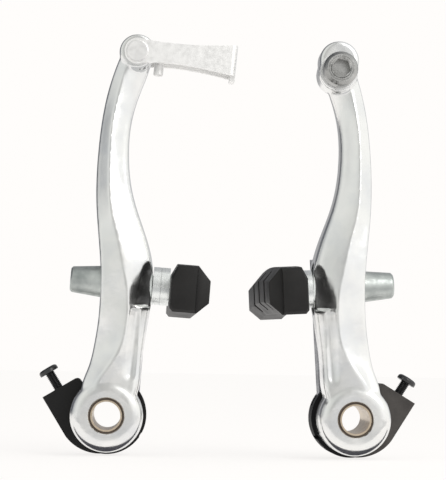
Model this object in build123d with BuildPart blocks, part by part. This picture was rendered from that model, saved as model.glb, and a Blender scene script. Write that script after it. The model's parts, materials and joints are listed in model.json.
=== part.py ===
from build123d import *
from math import cos, radians, sin, sqrt
import os

# A linear-pull rim brake: two arms that swing on the bicycle's brake studs, each with
# its return spring, spring seat, tension screw and brake pad, and the link that holds
# the cable's bent guide tube on the left arm.  All lengths are in millimetres.
# The frame: origin on the left stud's axis, +X to the right arm, +Y back to the fork,
# +Z up.  The left side is modelled, and the right side is its mirror image.

# ---- driving dimensions -----------------------------------------------------------
PIVOT_SPACING = 71.4     # between the two stud axes
RUNNING = 0.06           # radial clearance of a part that turns on another
THREAD_GAP = 0.05        # radial gap of a plain hole that stands for a thread
CLEAR = 20.0             # longer than anything that a cut has to pass

STUD_BORE_R = 4.03       # inside the sleeve, for the 8 mm brake stud
SLEEVE_R = 4.5
BUSH_R = 5.1
HUB_R = 6.5              # rear hub of the arm, inside the coil
BOSS_R = 10.5
BOSS_FRONT, BOSS_BACK = -10.0, 1.0
BUSH_FRONT, SLEEVE_FRONT = -9.2, -9.9
HUB_BACK = 10.0
BORE_CHAMFER = 0.3

ARM_MID_Y = -2.0         # plane of the cable and of the pad studs
HEAD_X, HEAD_Z = 6.7, 105.7
HEAD_R = 5.3
HEAD_HALF = 3.2          # half thickness of the left head, between the link's plates

BOLT_HEAD_X, BOLT_HEAD_Z = 5.6, 104.6
BOLT_HEAD_R = 5.8        # radius of the right arm's head
BOLT_X, BOLT_Z = 5.9, 101.1
CLAMP_FACE_Y = -6.0
CLAMP_BACK_Y = 2.5

# The arm's sections, from the boss to the head: height, then outer edge, ridge and
# inner edge in X, then ridge, outer edge, inner edge and back in Y.
ARM_SECTIONS = [
    (0.0, -9.6, -4.5, 9.6, -9.8, -9.2, -9.6, 0.8),
    (9.4, -7.0, -3.2, 9.4, -9.8, -8.4, -9.2, 0.8),
    (18.9, -4.2, 3.0, 10.2, -9.7, -7.2, -8.9, 0.9),
    (28.0, -2.9, 5.2, 11.5, -9.5, -8.0, -8.7, 3.4),
    (34.0, -2.6, 5.3, 12.3, -9.4, -8.3, -8.6, 5.0),
    (44.5, -2.8, 3.3, 12.3, -9.2, -8.3, -8.2, 5.0),
    (52.0, -3.5, 1.7, 10.2, -8.6, -7.2, -7.0, 4.6),
    (62.9, -4.4, -0.6, 6.5, -7.8, -5.5, -5.8, 3.8),
    (75.0, -4.2, -0.8, 4.8, -7.0, -5.0, -5.1, 3.0),
    (85.0, -3.3, -0.2, 5.3, -6.3, -4.6, -4.6, 2.2),
    (94.0, -1.7, 1.4, 7.7, -5.3, -4.2, -4.2, 1.2),
    (101.0, 0.4, 3.2, 10.2, -5.1, -4.4, -4.4, 1.1),
    (105.7, 1.8, 5.6, 11.6, -5.1, -4.8, -4.8, 1.1),
]
BACK_BEVEL = 1.2
INNER_BEVEL = 1.6

FLUTE_R = 2.2            # channel in the front face, from the pad down to the boss
FLUTE_LOW, FLUTE_HIGH = (6.6, 12.5), (7.6, 30.0)
FLUTE_FLOOR_Y = -8.1
SEAT_LOW, SEAT_HIGH = 31.5, 45.0   # the bevel beside the pad's washers
SEAT_EDGE_X = 13.5
SEAT_BEVEL = 5.6

# ---- pad and its washers, measured along the pad stud from its centre in the arm ----
LEAN = 3.6               # degrees that the arm leans inwards, and the stud dips
PAD_CENTRE = (5.0, ARM_MID_Y, 38.1)
THREAD_R = 2.95          # M6
PAD_TRAVEL = 4.0         # up and down in the arm's slot
SLOT_HALF = 3.7
FACE_IN = 7.5            # where the inner washers bear on the arm
FACE_OUT = 3.4           # the floor of the recess that holds the outer washers
RECESS_HALF = 5.4
SLIDE_GAP = 0.03         # lets the washers slide up and down on the arm
WASHER_R = 5.5
OUTER_WASHER_R = 4.6
INNER_RIM = 9.8          # where the inner washers meet at their rim
OUTER_RIM = 4.2
CONVEX_HOLE_IN, CONVEX_HOLE_OUT = 4.1, 3.5
CONCAVE_HOLE_R = 3.05
PAD_BACK = 12.4
PAD_THICK = 10.8
PAD_LENGTH = 60.0
PAD_HEIGHT = 12.9
RIM_R = 300.0            # the pad curves to follow the wheel's rim
PAD_BEVEL = 2.8
PAD_BACK_BEVEL = 1.0
GROOVE_W, GROOVE_DEPTH = 3.0, 2.4
GROOVES_AT = (-16.0, -2.0, 12.0)
PLATE_L, PLATE_H, PLATE_T = 40.0, 7.0, 1.5
PLATE_FROM = 13.6
NUT_SEAT = 7.2
NUT_END = 16.3
NUT_R, NUT_TIP_R, NUT_EDGE = 4.6, 3.75, 0.5
STUD_END = 12.8
HEX_AF = 5.0
RIGHT_TOE = -2.0         # degrees that the right pad is turned on its washers

# ---- cable link on the left arm ---------------------------------------------------
LINK_DIP = 4.9           # degrees below level
LINK_END = 29.0
LINK_T = 1.5
LINK_END_R = 3.8
LINK_TOP = [(12.4, 3.35), (21.7, 3.95), (LINK_END, 4.8)]      # upper edge of the plates
LINK_LOW = [(LINK_END, -4.3), (18.6, -2.95), (10.1, -2.6)]    # lower edge
LINK_CORNER_R = 1.6
LIP_MIDDLE, LIP_HEIGHT, LIP_INSET = -4.6, 2.0, 0.6
LINK_GAP_HALF = HEAD_HALF + 0.1
PIN_R = 2.0
PIN_HEAD_R, PIN_HEAD_T = 2.5, 0.5
PIN_PLAY = 0.05          # between each pin head and its plate
KEYHOLE_R = 2.4
KEY_SLOT = 2.2
STOP_X = 6.6             # the small stop peg, from the pin
STOP_BAR_Z = -1.6        # its cross bar, below the link's middle line
STOP_R, STOP_BAR_R = 1.4, 1.0
STOP_LENGTH = 4.4
STOP_ROUND = 0.4

# ---- cable clamp on the right arm -------------------------------------------------
CLAMP_WASHER_R, CLAMP_WASHER_T = 5.5, 1.6
WASHER_GAP = 0.1
BOLT_BACK_Y = 2.2
BOLT_CAP_R, BOLT_CAP_H = 5.0, 5.8
BOLT_CAP_BEVEL = 0.5
BOLT_SOCKET = 3.2
CABLE_R = 0.8
CABLE_OFFSET = 4.0       # cable groove above the bolt's axis

# ---- spring seat, spring and tension screw ----------------------------------------
SEAT_R, SEAT_CUP_R = 11.5, 9.8
SEAT_FRONT, SEAT_BACK = 3.6, 12.6
CUP_FLOOR_Y = 10.5
BLOCK_FRONT, BLOCK_BACK = 1.6, 9.2
BLOCK_CORNER, BLOCK_SIDE = (-18.8, 4.7), (-11.9, -6.4)
BLOCK_BELLY, BLOCK_FOOT = (-7.9, -9.8), (-1.6, -11.3)
BLOCK_TOP_CORNER, BLOCK_ROUND = (-8.7, 10.8), 1.2
WINDOW_LOW = 7.5         # the rim is open above this, where the long leg comes out
WINDOW_FROM, WINDOW_TO = (2.6, 0.4), 12.0
LEG_SLOT_X, LEG_SLOT_Z = (6.6, 12.0), (3.5, 8.0)
LEG_SLOT_Y = (7.9, 10.5)
NOTCH, NOTCH_SIZE, NOTCH_TURN = (10.2, -6.0), (3.0, 1.3), -30
WIRE_R = 0.8
COIL_R = 8.2
SHORT_LEG_Y, LONG_LEG_Y = 5.0, 9.2
COIL_PITCH = 1.74
LONG_LEG_TOP = 47.0
SHORT_LEG = 6.9          # ends just short of the tension screw
POST_R = 1.5
POST_X, POST_Z = 5.1, 43.0
POST_FROM, POST_TO = 2.4, 12.8   # pressed into the back of the arm
POST_FLANGE_R, POST_FLANGE_FROM = 2.3, 11.9
SCREW_LEAN = 32.0        # degrees from upright
SCREW_R = 1.45           # M3
SCREW_HOLE_R = 1.52
SCREW_TIP, BLOCK_TOP = 7.2, 14.05  # along the screw, from beside the stud's axis
SCREW_OUT_LEFT, SCREW_OUT_RIGHT = 5.0, 3.8
SCREW_CAP_R, SCREW_CAP_H, SCREW_CAP_ROUND = 2.9, 1.6, 0.7
CROSS_L, CROSS_W, CROSS_DEPTH = 3.2, 0.7, 1.0
ANCHOR_R, ANCHOR_ROOT_R = 1.25, 1.6
ANCHOR_Z = 9.6
ANCHOR_END = 16.6

MIDDLE = Plane.YZ.offset(PIVOT_SPACING / 2)
PAD_AXIS = (cos(radians(LEAN)), 0, -sin(radians(LEAN)))
PAD_UP = (sin(radians(LEAN)), 0, cos(radians(LEAN)))
PAD_PLANE = Plane(origin=PAD_CENTRE, x_dir=PAD_AXIS, z_dir=(0, -1, 0))
PAD_LINE = Axis(PAD_CENTRE, PAD_AXIS)
TOE_LINE = Axis(PAD_CENTRE, PAD_UP)
STUD_LINE = Axis((0, 0, 0), (0, 1, 0))
LINK_PLANE = Plane(
    origin=(HEAD_X, ARM_MID_Y, HEAD_Z),
    x_dir=(cos(radians(LINK_DIP)), 0, -sin(radians(LINK_DIP))),
    z_dir=(0, -1, 0),
)
SCREW_DIR = (-sin(radians(SCREW_LEAN)), 0, cos(radians(SCREW_LEAN)))
SCREW_FOOT = (-COIL_R * SCREW_DIR[2], SHORT_LEG_Y, COIL_R * SCREW_DIR[0])


def upright(y):
    """A sketch plane at depth y, whose own x and y are the frame's X and Z."""
    return Plane.XZ.offset(-y)


def across(distance):
    """A sketch plane square to the pad stud, with its x along +Y and its y upwards."""
    start = [c + distance * a for c, a in zip(PAD_CENTRE, PAD_AXIS)]
    return Plane(origin=start, x_dir=(0, 1, 0), z_dir=PAD_AXIS)


def along_screw(distance):
    """A sketch plane square to the tension screw, its x along +Y."""
    start = [f + distance * d for f, d in zip(SCREW_FOOT, SCREW_DIR)]
    return Plane(origin=start, x_dir=(0, 1, 0), z_dir=SCREW_DIR)


def save(piece, node):
    piece.label = node
    export_step(piece, f"parts/{node}.step")


def save_pair(piece, node):
    save(piece, f"left_{node}")
    save(mirror(piece, about=MIDDLE), f"right_{node}")


def cylinder(x, z, radius, y_front, y_back):
    """A round bar along Y."""
    with BuildPart() as bar:
        with BuildSketch(upright(y_back)):
            with Locations((x, z)):
                Circle(radius)
        extrude(amount=y_back - y_front)
    return bar.part


# ---- arms ---------------------------------------------------------------------------
def make_beam():
    """The arm's long curved body, with a ridge down its front."""
    with BuildPart() as beam:
        for z, outer, ridge, inner, y_ridge, y_outer, y_inner, y_back in ARM_SECTIONS:
            with BuildSketch(Plane.XY.offset(z)):
                with BuildLine():
                    Polyline(
                        (outer, y_back - BACK_BEVEL),
                        (outer, y_outer),
                        (ridge, y_ridge),
                        (inner - INNER_BEVEL, y_inner),
                        (inner, y_inner + INNER_BEVEL),
                        (inner, y_back - BACK_BEVEL),
                        (inner - BACK_BEVEL, y_back),
                        (outer + BACK_BEVEL, y_back),
                        close=True,
                    )
                make_face()
        loft()
    return beam.part


def make_arm_blank(head):
    """Beam, boss and head in one casting, with the cuts that both arms share."""
    with BuildPart() as arm:
        add(make_beam())
        add(cylinder(0, 0, BOSS_R, BOSS_FRONT, BOSS_BACK))
        add(cylinder(0, 0, HUB_R, BOSS_BACK, HUB_BACK))
        add(head)
        add(cylinder(0, 0, BUSH_R, BOSS_FRONT, HUB_BACK), mode=Mode.SUBTRACT)
        add(cylinder(POST_X, POST_Z, POST_R, POST_FROM, HUB_BACK), mode=Mode.SUBTRACT)
        mouth = arm.edges().filter_by(GeomType.CIRCLE).group_by(Axis.Y)[0].sort_by(SortBy.RADIUS)[0]
        chamfer(mouth, BORE_CHAMFER)
        # the long slot that lets the pad go up and down
        with BuildSketch(across(0)):
            SlotCenterToCenter(2 * PAD_TRAVEL, 2 * SLOT_HALF, rotation=90)
        extrude(amount=CLEAR, both=True, mode=Mode.SUBTRACT)
        # the recess that holds the outer washers
        with BuildSketch(across(-FACE_OUT)):
            SlotCenterToCenter(2 * PAD_TRAVEL, 2 * RECESS_HALF, rotation=90)
        extrude(amount=-CLEAR, mode=Mode.SUBTRACT)
        # the flat that the inner washers bear on
        with BuildSketch(across(FACE_IN)):
            Rectangle(CLEAR, CLEAR)
        extrude(amount=CLEAR, mode=Mode.SUBTRACT)
        # the bevel beside the inner washers
        with BuildSketch(Plane.XY.offset(SEAT_LOW)):
            with BuildLine():
                Polyline(
                    (SEAT_EDGE_X, BOSS_FRONT),
                    (SEAT_EDGE_X, BOSS_FRONT + SEAT_BEVEL),
                    (SEAT_EDGE_X - SEAT_BEVEL, BOSS_FRONT),
                    close=True,
                )
            make_face()
        extrude(amount=SEAT_HIGH - SEAT_LOW, mode=Mode.SUBTRACT)
        # the channel down the front
        with BuildSketch(upright(FLUTE_FLOOR_Y)):
            with Locations(FLUTE_LOW, FLUTE_HIGH):
                Circle(FLUTE_R)
            make_hull()
        extrude(amount=CLEAR, mode=Mode.SUBTRACT)
    return arm.part


def make_cable():
    """The space of the brake cable, half in the arm and half in the clamp washer."""
    with BuildPart() as cable:
        with BuildSketch(Plane.YZ):
            with Locations((CLAMP_FACE_Y, BOLT_Z + CABLE_OFFSET)):
                Circle(CABLE_R)
        extrude(amount=CLEAR, both=True)
    return cable.part


def make_left_arm():
    front, back = ARM_MID_Y - HEAD_HALF, ARM_MID_Y + HEAD_HALF
    with BuildPart() as arm:
        add(make_arm_blank(cylinder(HEAD_X, HEAD_Z, HEAD_R, front, back)))
        add(cylinder(HEAD_X, HEAD_Z, PIN_R, front, back), mode=Mode.SUBTRACT)
    return arm.part


def make_right_arm():
    """Built on the left, like everything else, and mirrored when it is written."""
    with BuildPart() as arm:
        add(make_arm_blank(
            cylinder(BOLT_HEAD_X, BOLT_HEAD_Z, BOLT_HEAD_R, CLAMP_FACE_Y, CLAMP_BACK_Y)
        ))
        add(cylinder(BOLT_X, BOLT_Z, BOLT_HEAD_R, CLAMP_FACE_Y, CLAMP_BACK_Y))
        add(cylinder(BOLT_X, BOLT_Z, THREAD_R + THREAD_GAP, CLAMP_FACE_Y, CLAMP_BACK_Y), mode=Mode.SUBTRACT)
        add(make_cable(), mode=Mode.SUBTRACT)
    return arm.part


# ---- pivot ----------------------------------------------------------------------------
def make_tube(inner, outer, y_front, y_back):
    with BuildPart() as tube:
        with BuildSketch(upright(y_back)):
            Circle(outer)
            Circle(inner, mode=Mode.SUBTRACT)
        extrude(amount=y_back - y_front)
    return tube.part


def make_spring_post():
    """The arm's rear post, which the spring's long leg leans on."""
    with BuildPart() as post:
        add(cylinder(POST_X, POST_Z, POST_R, POST_FROM, POST_TO))
        add(cylinder(POST_X, POST_Z, POST_FLANGE_R, POST_FLANGE_FROM, POST_TO))
    return post.part


def make_return_spring():
    """A torsion spring of about two and a half turns with a short and a long leg."""
    coil = Helix(
        pitch=COIL_PITCH,
        height=LONG_LEG_Y - SHORT_LEG_Y,
        radius=COIL_R,
        center=(0, SHORT_LEG_Y, 0),
        direction=(0, 1, 0),
        lefthand=True,
    )
    # turn the helix until its front end lies at the screw's foot
    start = coil @ 0
    turn = Vector(start.X, 0, start.Z).get_signed_angle(
        Vector(SCREW_FOOT[0], 0, SCREW_FOOT[2]), Vector(0, 1, 0)
    )
    coil = coil.rotate(STUD_LINE, turn)
    with BuildPart() as spring:
        with BuildSketch(Plane(origin=coil @ 0, z_dir=coil % 0)):
            Circle(WIRE_R)
        sweep(path=coil, is_frenet=True)
        with BuildSketch(Plane(origin=coil @ 0, z_dir=-(coil % 0))):
            Circle(WIRE_R)
        extrude(amount=SHORT_LEG)
        end = coil @ 1
        with BuildSketch(Plane(origin=end, z_dir=coil % 1)):
            Circle(WIRE_R)
        extrude(amount=LONG_LEG_TOP - end.Z)
    return spring.part


def make_spring_seat():
    """The moulded cup behind the boss, and the block that carries the screw."""
    with BuildPart() as seat:
        add(cylinder(0, 0, SEAT_R, SEAT_FRONT, SEAT_BACK))
        with BuildSketch(upright(BLOCK_BACK)):
            with BuildLine():
                Polyline((0, 0), BLOCK_TOP_CORNER, BLOCK_CORNER, BLOCK_SIDE)
                ThreePointArc(BLOCK_SIDE, BLOCK_BELLY, BLOCK_FOOT)
                Line(BLOCK_FOOT, (0, 0))
            make_face()
            fillet(vertices().sort_by_distance(BLOCK_TOP_CORNER)[0], BLOCK_ROUND)
        extrude(amount=BLOCK_BACK - BLOCK_FRONT)
        add(cylinder(0, 0, SEAT_CUP_R, -CLEAR, CUP_FLOOR_Y), mode=Mode.SUBTRACT)
        add(cylinder(0, 0, SLEEVE_R, 0, SEAT_BACK), mode=Mode.SUBTRACT)
        add(cylinder(0, ANCHOR_Z, ANCHOR_ROOT_R, CUP_FLOOR_Y, SEAT_BACK), mode=Mode.SUBTRACT)
        # the window in the rim that the long leg swings in, and the slot at its root
        with BuildSketch(upright(CUP_FLOOR_Y)):
            with BuildLine():
                Polyline(
                    (WINDOW_FROM[0], WINDOW_LOW),
                    (WINDOW_TO, WINDOW_LOW),
                    (WINDOW_TO, WINDOW_TO),
                    (WINDOW_FROM[1], WINDOW_TO),
                    close=True,
                )
            make_face()
        extrude(amount=CLEAR, mode=Mode.SUBTRACT)
        with BuildSketch(upright(LEG_SLOT_Y[1])):
            with Locations((sum(LEG_SLOT_X) / 2, sum(LEG_SLOT_Z) / 2)):
                Rectangle(LEG_SLOT_X[1] - LEG_SLOT_X[0], LEG_SLOT_Z[1] - LEG_SLOT_Z[0])
        extrude(amount=LEG_SLOT_Y[1] - LEG_SLOT_Y[0], mode=Mode.SUBTRACT)
        # the notch in the rim, low on the inner side
        with BuildSketch(upright(CUP_FLOOR_Y)):
            with Locations(NOTCH):
                Rectangle(*NOTCH_SIZE, rotation=NOTCH_TURN)
        extrude(amount=CLEAR, mode=Mode.SUBTRACT)
        with BuildSketch(along_screw(0)):
            Circle(SCREW_HOLE_R)
        extrude(amount=CLEAR, mode=Mode.SUBTRACT)
    return seat.part


def make_anchor_pin():
    """A pin with a thicker root, which is moulded into the seat's floor."""
    with BuildPart() as pin:
        add(cylinder(0, ANCHOR_Z, ANCHOR_ROOT_R, CUP_FLOOR_Y, SEAT_BACK))
        add(cylinder(0, ANCHOR_Z, ANCHOR_R, SEAT_BACK, ANCHOR_END))
    return pin.part


def make_tension_screw(out):
    """M3 pan head screw, its head standing out of the block."""
    cap = BLOCK_TOP + out
    with BuildPart() as screw:
        with BuildSketch(along_screw(SCREW_TIP)):
            Circle(SCREW_R)
        extrude(amount=cap - SCREW_TIP)
        with BuildSketch(along_screw(cap)):
            Circle(SCREW_CAP_R)
        extrude(amount=SCREW_CAP_H)
        rim = screw.edges().filter_by(GeomType.CIRCLE).sort_by(Axis(SCREW_FOOT, SCREW_DIR))[-1]
        fillet(rim, SCREW_CAP_ROUND)
        with BuildSketch(along_screw(cap + SCREW_CAP_H)):
            Rectangle(CROSS_L, CROSS_W)
            Rectangle(CROSS_W, CROSS_L)
        extrude(amount=-CROSS_DEPTH, mode=Mode.SUBTRACT)
    return screw.part


# ---- pad ------------------------------------------------------------------------------
def make_ring(points):
    """A ring about the pad stud, from its half section in (along, out)."""
    with BuildPart() as ring:
        with BuildSketch(PAD_PLANE):
            with BuildLine():
                Polyline(*points, close=True)
            make_face()
        revolve(axis=PAD_LINE)
    return ring.part


def make_washer(side, flat, rim, rim_r, hole_r, gap):
    """A washer with one flat face and one face on a sphere about the stud's centre."""
    ball = sqrt(rim ** 2 + rim_r ** 2) + gap
    at_rim = sqrt(ball ** 2 - rim_r ** 2)
    at_hole = sqrt(ball ** 2 - hole_r ** 2)
    half_r = (rim_r + hole_r) / 2
    at_half = sqrt(ball ** 2 - half_r ** 2)
    with BuildPart() as washer:
        with BuildSketch(PAD_PLANE):
            with BuildLine():
                Line((side * flat, hole_r), (side * flat, rim_r))
                Line((side * flat, rim_r), (side * at_rim, rim_r))
                ThreePointArc(
                    (side * at_rim, rim_r), (side * at_half, half_r), (side * at_hole, hole_r)
                )
                Line((side * at_hole, hole_r), (side * flat, hole_r))
            make_face()
        revolve(axis=PAD_LINE)
    return washer.part


def make_pad_stud():
    """Threaded stud with the backing plate that is moulded into the pad."""
    with BuildPart() as stud:
        with BuildSketch(across(-STUD_END)):
            Circle(THREAD_R)
        extrude(amount=STUD_END + PLATE_FROM + PLATE_T)
        with BuildSketch(across(PLATE_FROM)):
            Rectangle(PLATE_L, PLATE_H)
        extrude(amount=PLATE_T)
    return stud.part


def make_pad():
    """Rubber block, curved like the rim, with bevelled edges and cross grooves."""
    half = PAD_LENGTH / 2
    drop = RIM_R - sqrt(RIM_R ** 2 - half ** 2)
    top, low = PAD_HEIGHT / 2, -PAD_HEIGHT / 2
    with BuildPart() as pad:
        with BuildSketch(across(PAD_BACK)):
            with BuildLine():
                ThreePointArc((-half, top - drop), (0, top), (half, top - drop))
                Line((half, top - drop), (half, low - drop))
                ThreePointArc((half, low - drop), (0, low), (-half, low - drop))
                Line((-half, low - drop), (-half, top - drop))
            make_face()
        extrude(amount=PAD_THICK)
        by_thickness = Axis(PAD_CENTRE, PAD_AXIS)
        front = pad.edges().group_by(by_thickness)[-1]
        back = pad.edges().group_by(by_thickness)[0]
        chamfer(front, PAD_BEVEL)
        chamfer(back, PAD_BACK_BEVEL)
        with BuildSketch(across(PAD_BACK + PAD_THICK)):
            with Locations(*[(groove, 0) for groove in GROOVES_AT]):
                Rectangle(GROOVE_W, 2 * PAD_HEIGHT)
        extrude(amount=-GROOVE_DEPTH, mode=Mode.SUBTRACT)
        add(make_pad_stud(), mode=Mode.SUBTRACT)
    return pad.part


def make_pad_nut():
    """Tapered sleeve nut with a hexagon socket in its outer end."""
    with BuildPart() as nut:
        add(make_ring([
            (-NUT_SEAT, THREAD_R + THREAD_GAP),
            (-NUT_SEAT, NUT_R),
            (-NUT_END + NUT_EDGE, NUT_TIP_R),
            (-NUT_END, NUT_TIP_R - NUT_EDGE),
            (-NUT_END, 0),
            (-STUD_END, 0),
            (-STUD_END, THREAD_R + THREAD_GAP),
        ]))
        with BuildSketch(across(-NUT_END)):
            RegularPolygon(HEX_AF / 2, 6, major_radius=False)
        extrude(amount=NUT_END - STUD_END, mode=Mode.SUBTRACT)
    return nut.part


# ---- cable link -------------------------------------------------------------------------
def make_noodle_link():
    """Stamped channel: two plates and an end web with a keyhole for the guide tube."""
    gap, wide = LINK_GAP_HALF, LINK_GAP_HALF + LINK_T
    with BuildPart() as link:
        with BuildSketch(LINK_PLANE.offset(-wide)):
            Circle(LINK_END_R)
            with BuildLine():
                Spline((0, LINK_END_R), *LINK_TOP)
                Line(LINK_TOP[-1], LINK_LOW[0])
                Spline(*LINK_LOW, (0, -LINK_END_R))
                Line((0, -LINK_END_R), (0, LINK_END_R))
            make_face()
        extrude(amount=2 * wide)
        web = link.faces().sort_by(Axis(LINK_PLANE.origin, LINK_PLANE.x_dir))[-1]
        fillet(web.edges().filter_by(Axis(LINK_PLANE.origin, LINK_PLANE.y_dir)), LINK_CORNER_R)
        # the lip under the end web
        with BuildSketch(LINK_PLANE):
            with Locations((LINK_END - LINK_T / 2, LIP_MIDDLE)):
                Rectangle(LINK_T, LIP_HEIGHT)
        extrude(amount=gap - LIP_INSET, both=True)
        with BuildSketch(LINK_PLANE):
            with Locations((LINK_END - LINK_T - CLEAR, 0)):
                Rectangle(2 * CLEAR, CLEAR)
        extrude(amount=gap, both=True, mode=Mode.SUBTRACT)
        with BuildSketch(LINK_PLANE):
            Circle(PIN_R + RUNNING)
        extrude(amount=CLEAR, both=True, mode=Mode.SUBTRACT)
        end_plane = Plane(
            origin=LINK_PLANE.from_local_coords((LINK_END, 0, 0)),
            x_dir=(0, 1, 0),
            z_dir=LINK_PLANE.x_dir,
        )
        with BuildSketch(end_plane):
            Circle(KEYHOLE_R)
            with Locations((0, CLEAR / 2)):
                Rectangle(KEY_SLOT, CLEAR)
        extrude(amount=-2 * LINK_T, mode=Mode.SUBTRACT)
    return link.part


def make_link_pin():
    """Riveted pin: a low head in front and a closed end behind."""
    front = ARM_MID_Y - LINK_GAP_HALF - LINK_T - PIN_PLAY
    back = ARM_MID_Y + LINK_GAP_HALF + LINK_T + PIN_PLAY
    with BuildPart() as pin:
        add(cylinder(HEAD_X, HEAD_Z, PIN_R, front, back))
        add(cylinder(HEAD_X, HEAD_Z, PIN_HEAD_R, front - PIN_HEAD_T, front))
        add(cylinder(HEAD_X, HEAD_Z, PIN_HEAD_R, back, back + PIN_HEAD_T))
    return pin.part


def make_link_stop():
    """A small cross bar between the link's plates, with a peg that points down."""
    with BuildPart() as stop:
        with BuildSketch(LINK_PLANE.offset(-LINK_GAP_HALF)):
            with Locations((STOP_X, STOP_BAR_Z)):
                Circle(STOP_BAR_R)
        extrude(amount=2 * LINK_GAP_HALF)
        top = LINK_PLANE.from_local_coords((STOP_X, STOP_BAR_Z, 0))
        down = Plane(origin=top, x_dir=(0, 1, 0), z_dir=[-c for c in LINK_PLANE.y_dir])
        with BuildSketch(down):
            Circle(STOP_R)
        extrude(amount=STOP_LENGTH)
        tip = stop.edges().filter_by(GeomType.CIRCLE).sort_by(Axis(top, down.z_dir))[-1]
        fillet(tip, STOP_ROUND)
    return stop.part


# ---- cable clamp --------------------------------------------------------------------------
def make_clamp_washer():
    """Thick washer that presses the cable into its groove."""
    front = CLAMP_FACE_Y - CLAMP_WASHER_T
    with BuildPart() as washer:
        add(cylinder(BOLT_X, BOLT_Z, CLAMP_WASHER_R, front, CLAMP_FACE_Y))
        add(cylinder(BOLT_X, BOLT_Z, THREAD_R + WASHER_GAP, front, CLAMP_FACE_Y), mode=Mode.SUBTRACT)
        add(make_cable(), mode=Mode.SUBTRACT)
    return washer.part


def make_anchor_bolt():
    """M6 socket cap screw."""
    seat = CLAMP_FACE_Y - CLAMP_WASHER_T
    front = seat - BOLT_CAP_H
    with BuildPart() as bolt:
        add(cylinder(BOLT_X, BOLT_Z, THREAD_R, seat, BOLT_BACK_Y))
        add(cylinder(BOLT_X, BOLT_Z, BOLT_CAP_R, front, seat))
        rim = bolt.edges().filter_by(GeomType.CIRCLE).group_by(Axis.Y)[0]
        chamfer(rim, BOLT_CAP_BEVEL)
        with BuildSketch(upright(front)):
            with Locations((BOLT_X, BOLT_Z)):
                RegularPolygon(HEX_AF / 2, 6, major_radius=False)
        extrude(amount=-BOLT_SOCKET, mode=Mode.SUBTRACT)
    return bolt.part


def main():
    os.makedirs("parts", exist_ok=True)
    save(make_left_arm(), "left_arm")
    save(mirror(make_right_arm(), about=MIDDLE), "right_arm")
    save_pair(make_tube(SLEEVE_R + RUNNING, BUSH_R, BUSH_FRONT, HUB_BACK), "pivot_bush")
    save_pair(make_tube(STUD_BORE_R, SLEEVE_R, SLEEVE_FRONT, SEAT_BACK), "pivot_sleeve")
    save_pair(make_spring_post(), "spring_post")
    save_pair(make_return_spring(), "return_spring")
    save_pair(make_spring_seat(), "spring_seat")
    save_pair(make_anchor_pin(), "anchor_pin")
    save(make_tension_screw(SCREW_OUT_LEFT), "left_tension_screw")
    save(mirror(make_tension_screw(SCREW_OUT_RIGHT), about=MIDDLE), "right_tension_screw")

    save_pair(
        make_washer(1, FACE_IN + SLIDE_GAP, INNER_RIM, WASHER_R, CONVEX_HOLE_IN, 0),
        "inner_convex_washer",
    )
    save_pair(
        make_washer(-1, FACE_OUT + SLIDE_GAP, OUTER_RIM, OUTER_WASHER_R, CONVEX_HOLE_OUT, 0),
        "outer_convex_washer",
    )
    on_stud = {
        "inner_concave_washer":
            make_washer(1, PAD_BACK, INNER_RIM, WASHER_R, CONCAVE_HOLE_R, RUNNING),
        "outer_concave_washer":
            make_washer(-1, NUT_SEAT, OUTER_RIM, OUTER_WASHER_R, CONCAVE_HOLE_R, RUNNING),
        "pad_stud": make_pad_stud(),
        "brake_pad": make_pad(),
        "pad_nut": make_pad_nut(),
    }
    for node, piece in on_stud.items():
        save(piece, f"left_{node}")
        save(mirror(piece.rotate(TOE_LINE, RIGHT_TOE), about=MIDDLE), f"right_{node}")

    save(make_noodle_link(), "noodle_link")
    save(make_link_pin(), "link_pin")
    save(make_link_stop(), "link_stop")
    save(mirror(make_clamp_washer(), about=MIDDLE), "clamp_washer")
    save(mirror(make_anchor_bolt(), about=MIDDLE), "anchor_bolt")


main()
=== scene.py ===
import json
import math

import bmesh
import bpy
import numpy as np
from mathutils import Matrix, Vector, noise


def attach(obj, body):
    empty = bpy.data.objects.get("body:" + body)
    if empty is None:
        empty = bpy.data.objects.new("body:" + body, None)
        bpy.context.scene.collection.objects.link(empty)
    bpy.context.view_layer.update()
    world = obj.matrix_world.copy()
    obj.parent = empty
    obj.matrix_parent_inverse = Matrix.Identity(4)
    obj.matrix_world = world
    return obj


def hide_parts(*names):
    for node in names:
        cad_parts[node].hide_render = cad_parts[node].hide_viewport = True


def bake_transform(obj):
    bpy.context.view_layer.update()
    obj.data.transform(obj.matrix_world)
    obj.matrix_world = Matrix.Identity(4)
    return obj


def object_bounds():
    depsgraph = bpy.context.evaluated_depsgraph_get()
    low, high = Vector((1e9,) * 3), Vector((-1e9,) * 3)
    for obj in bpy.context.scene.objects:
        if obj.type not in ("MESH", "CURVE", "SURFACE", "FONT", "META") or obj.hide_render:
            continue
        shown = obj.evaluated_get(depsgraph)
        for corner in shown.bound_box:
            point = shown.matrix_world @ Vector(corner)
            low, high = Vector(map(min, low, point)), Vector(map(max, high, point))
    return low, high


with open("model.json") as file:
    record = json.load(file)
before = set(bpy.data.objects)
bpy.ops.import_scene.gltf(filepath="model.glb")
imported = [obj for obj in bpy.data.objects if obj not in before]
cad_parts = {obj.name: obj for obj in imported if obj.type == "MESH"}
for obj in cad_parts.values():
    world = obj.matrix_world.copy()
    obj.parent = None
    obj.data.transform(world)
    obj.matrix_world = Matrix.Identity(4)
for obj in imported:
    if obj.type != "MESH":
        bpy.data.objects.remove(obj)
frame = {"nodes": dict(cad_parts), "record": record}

CAD_BOX = [list(corner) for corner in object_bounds()]
MM = 0.001

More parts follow.
